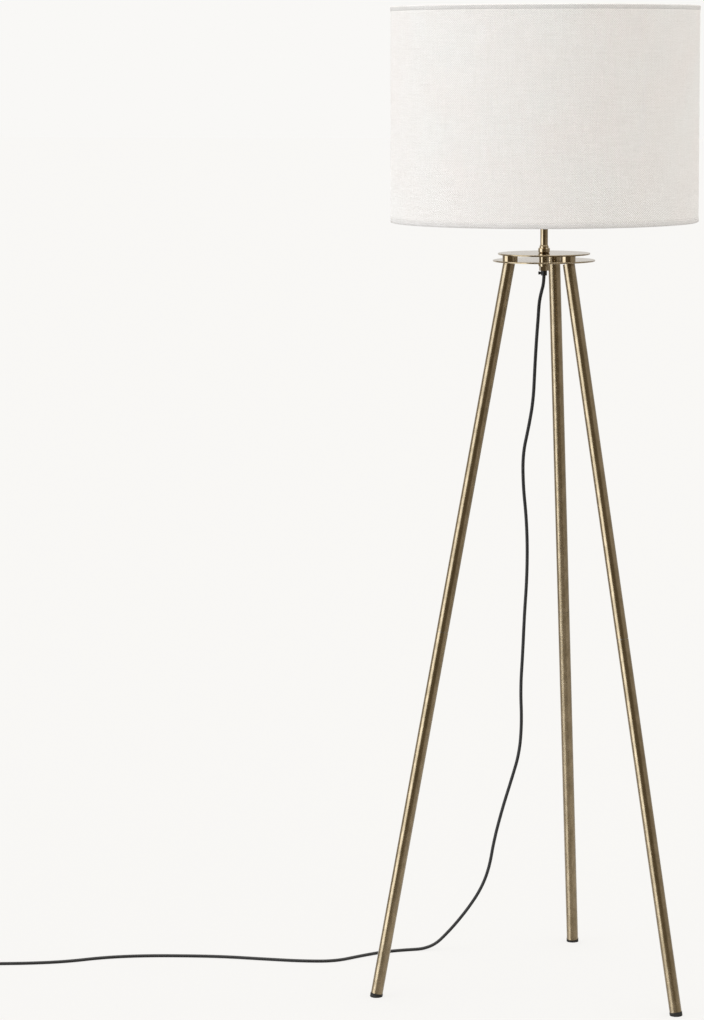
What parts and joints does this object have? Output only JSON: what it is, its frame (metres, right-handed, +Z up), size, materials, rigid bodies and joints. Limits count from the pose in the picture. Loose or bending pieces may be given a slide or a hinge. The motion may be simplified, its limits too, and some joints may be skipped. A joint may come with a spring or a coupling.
{
  "type": "tripod floor lamp",
  "caption": "Floor lamp on splayed antique brass tube legs, with a plate hub, a short stem, a linen drum shade that turns, and a free mains flex with its plug.",
  "frame": {"origin": "on the floor, under the middle of the lamp's own box, which leaves the flex and plug out; the stem's axis stands 23 mm in front of it", "axes": "+Z up along the stem; the back leg stands along +Y; +X to the right as seen from the front"},
  "size_m": [1.2837, 0.5272, 1.5557],
  "materials": {
    "antique_brass": "brushed antique brass, lacquered, mottled",
    "plain_brass": "plain turned brass",
    "zinc_steel": "zinc plated",
    "black_rubber": "matt",
    "black_nylon": "moulded, satin",
    "black_flex": "smooth flexible sheath",
    "moulded_black": "fine moulded texture",
    "bright_nickel": "bright nickel",
    "porcelain": "glazed",
    "opal_glass": "opal, satin",
    "linen": "plain woven linen with slubs",
    "shade_film": "smooth white film",
    "white_wire": "white powder coat"
  },
  "bodies": {
    "stand": {"flex_coil": "black_flex", "flex_grip": "black_nylon", "flex_grip_screw": "black_nylon", "flex_lead": "black_flex", "flex_tail": "black_flex", "foot_back": "black_rubber", "foot_left": "black_rubber", "foot_right": "black_rubber", "holder_cap": "plain_brass", "holder_centre_contact": "plain_brass", "holder_lining": "porcelain", "holder_nut": "plain_brass", "holder_screw_shell": "plain_brass", "holder_sleeve": "plain_brass", "holder_switch_block": "porcelain", "holder_terminals": "plain_brass", "hub_bush": "antique_brass", "hub_lock_nut": "antique_brass", "hub_lower_plate": "antique_brass", "hub_nipple": "plain_brass", "hub_spacer": "antique_brass", "hub_upper_plate": "antique_brass", "hub_washer": "antique_brass", "inner_flex": "black_flex", "leg_boss_back": "antique_brass", "leg_boss_left": "antique_brass", "leg_boss_right": "antique_brass", "leg_joiners": "zinc_steel", "leg_lower_back": "antique_brass", "leg_lower_left": "antique_brass", "leg_lower_right": "antique_brass", "leg_stud_back": "zinc_steel", "leg_stud_left": "zinc_steel", "leg_stud_right": "zinc_steel", "leg_upper_back": "antique_brass", "leg_upper_left": "antique_brass", "leg_upper_right": "antique_brass", "plug_body": "moulded_black", "plug_pin_sleeves": "moulded_black", "plug_pins": "bright_nickel", "shade_clamp_rings": "plain_brass", "stem_collar_nut": "antique_brass", "stem_neck_ring": "antique_brass", "stem_top_nipple": "plain_brass", "stem_tube": "antique_brass"},
    "shade": {"shade_fitter_ring": "white_wire", "shade_linen": "linen", "shade_liner": "shade_film", "shade_ring_lower": "white_wire", "shade_ring_upper": "white_wire", "shade_spider_arms": "white_wire", "shade_trim_lower": "linen", "shade_trim_upper": "linen"},
    "bulb": {"bulb_cap": "bright_nickel", "bulb_contact": "bright_nickel", "bulb_glass": "opal_glass"},
    "knob": {"switch_knob": "moulded_black", "switch_shaft": "zinc_steel"}
  },
  "joints": [
    {"name": "shade_turn", "type": "hinge", "parent": "stand", "child": "shade", "pos_m": [0, -0.02305, 1.2747], "axis": [0, 0, 1], "continuous": true},
    {"name": "bulb_unscrew", "type": "slide", "parent": "stand", "child": "bulb", "axis": [0, 0, 1], "range_m": [0, 0.3]},
    {"name": "switch_turn", "type": "hinge", "parent": "stand", "child": "knob", "pos_m": [0, -0.02305, 1.2577], "axis": [1, 0, 0], "continuous": true}
  ]
}
